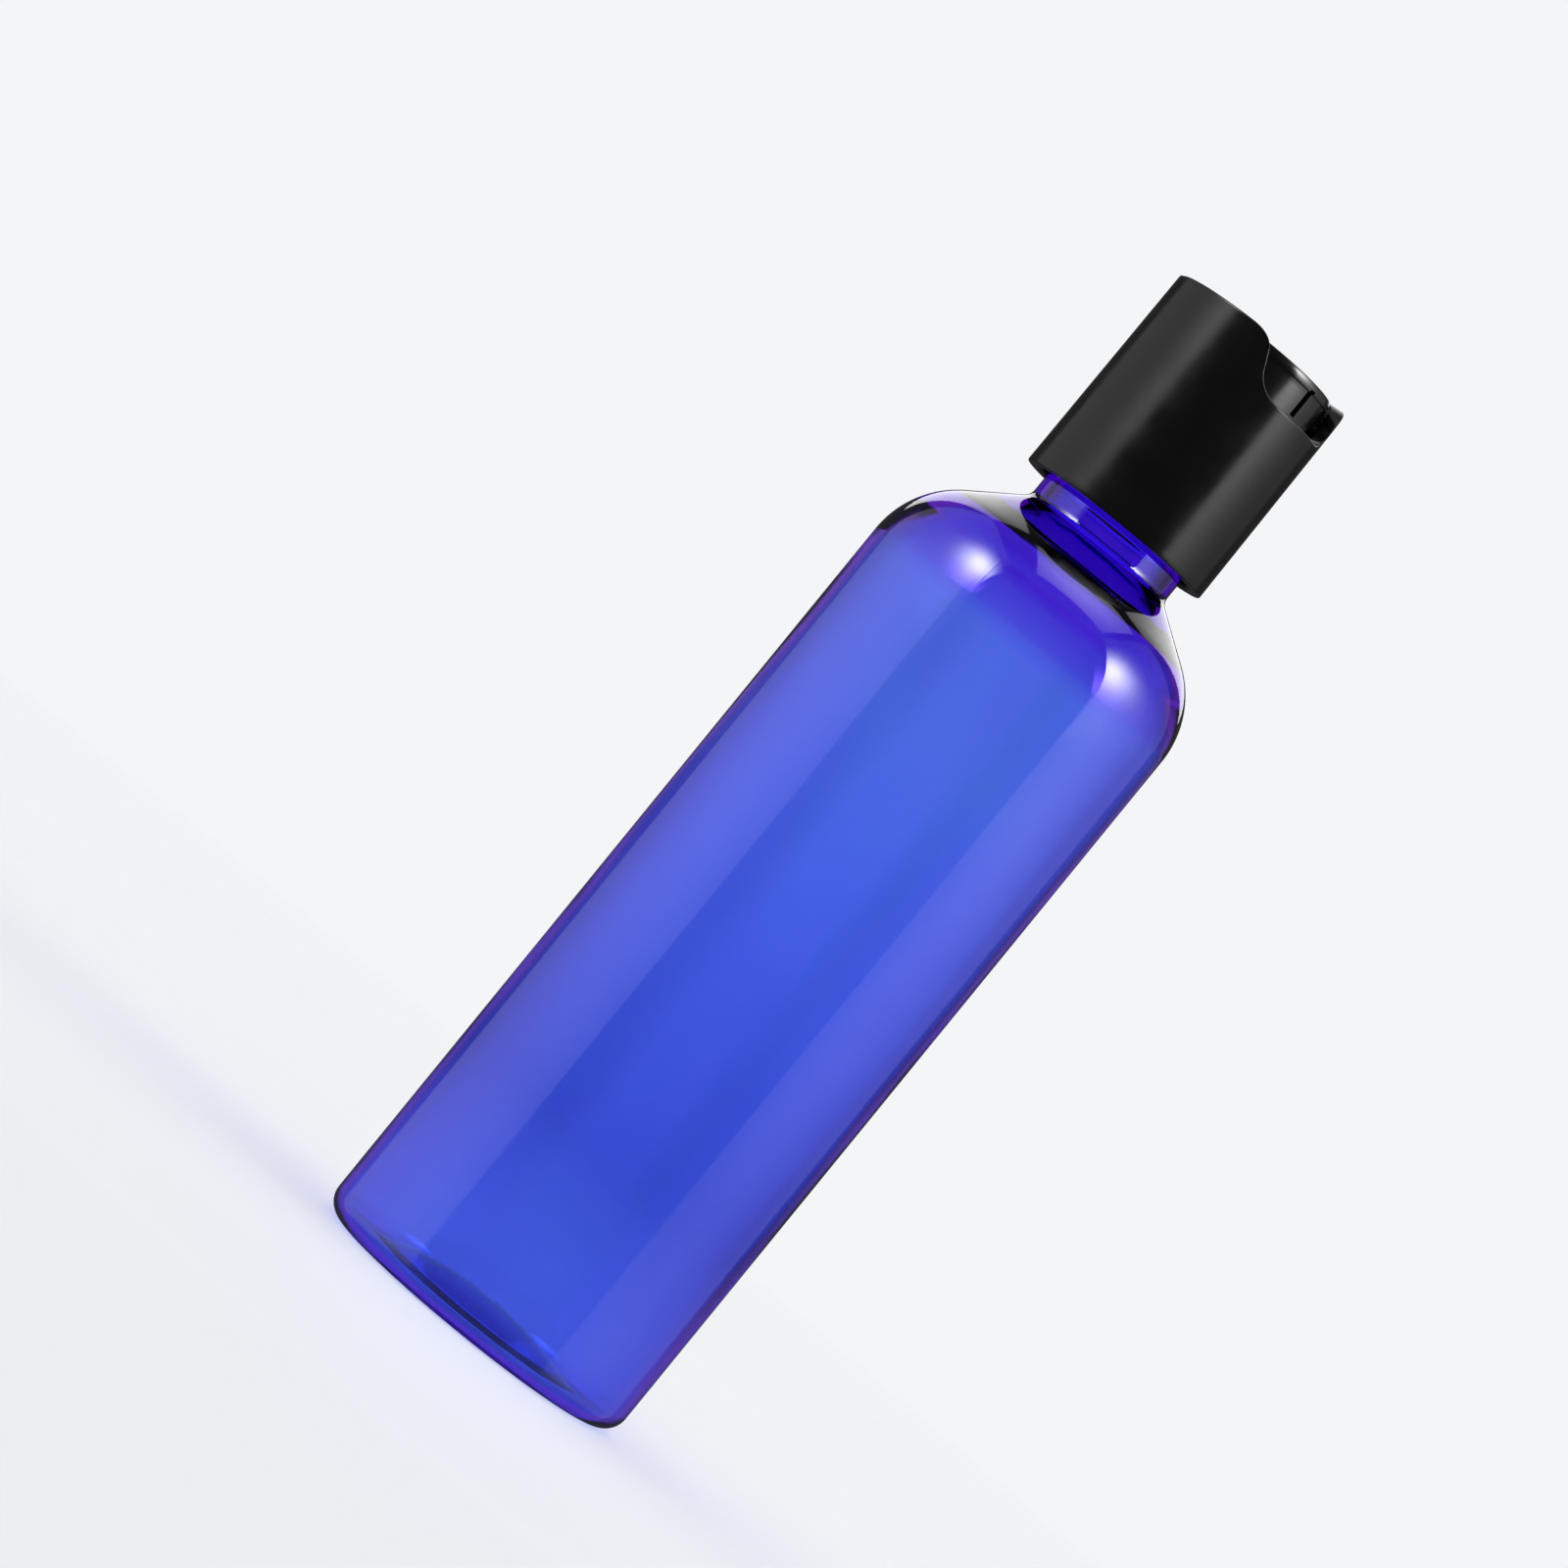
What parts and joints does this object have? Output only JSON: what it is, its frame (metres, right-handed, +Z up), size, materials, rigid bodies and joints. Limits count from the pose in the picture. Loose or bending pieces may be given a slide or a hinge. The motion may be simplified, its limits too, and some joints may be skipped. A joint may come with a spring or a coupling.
{
  "type": "disc-top squeeze bottle",
  "caption": "Round clear blue plastic bottle with a sloped shoulder, threaded neck and a black screw cap whose rocking disc opens a dispensing slot.",
  "frame": {"origin": "centre of the base, on the plane that the bottle stands on", "axes": "+Z up the bottle to the cap, -Y towards the outlet in the cap, X along the disc's pivot line"},
  "size_m": [0.039, 0.039, 0.133],
  "materials": {
    "bottle_plastic": "glossy transparent cobalt blue",
    "liner_foam": "matte foamed sheet",
    "cap_plastic": "smooth semi-gloss black",
    "disc_plastic": "smooth semi-gloss black"
  },
  "bodies": {
    "bottle": {"bottle": "bottle_plastic"},
    "liner": {"liner": "liner_foam"},
    "cap": {"cap_body": "cap_plastic"},
    "disc": {"rocker_disc": "disc_plastic"}
  },
  "joints": [
    {"name": "cap_lift", "type": "slide", "parent": "bottle", "child": "liner", "axis": [0, 0, 1], "range_m": [0, 0.0159]},
    {"name": "cap_turn", "type": "hinge", "parent": "liner", "child": "cap", "pos_m": [0, 0, 0.1219], "axis": [0, 0, 1], "range_deg": [0, 1800]},
    {"name": "disc_tilt", "type": "hinge", "parent": "cap", "child": "disc", "pos_m": [0, 0, 0.1295], "axis": [-1, 0, 0], "range_deg": [0, 20]}
  ],
  "couplings": [
    {"joint": "cap_lift", "follows": "cap_turn", "m_per_rad": 0.00050532}
  ]
}
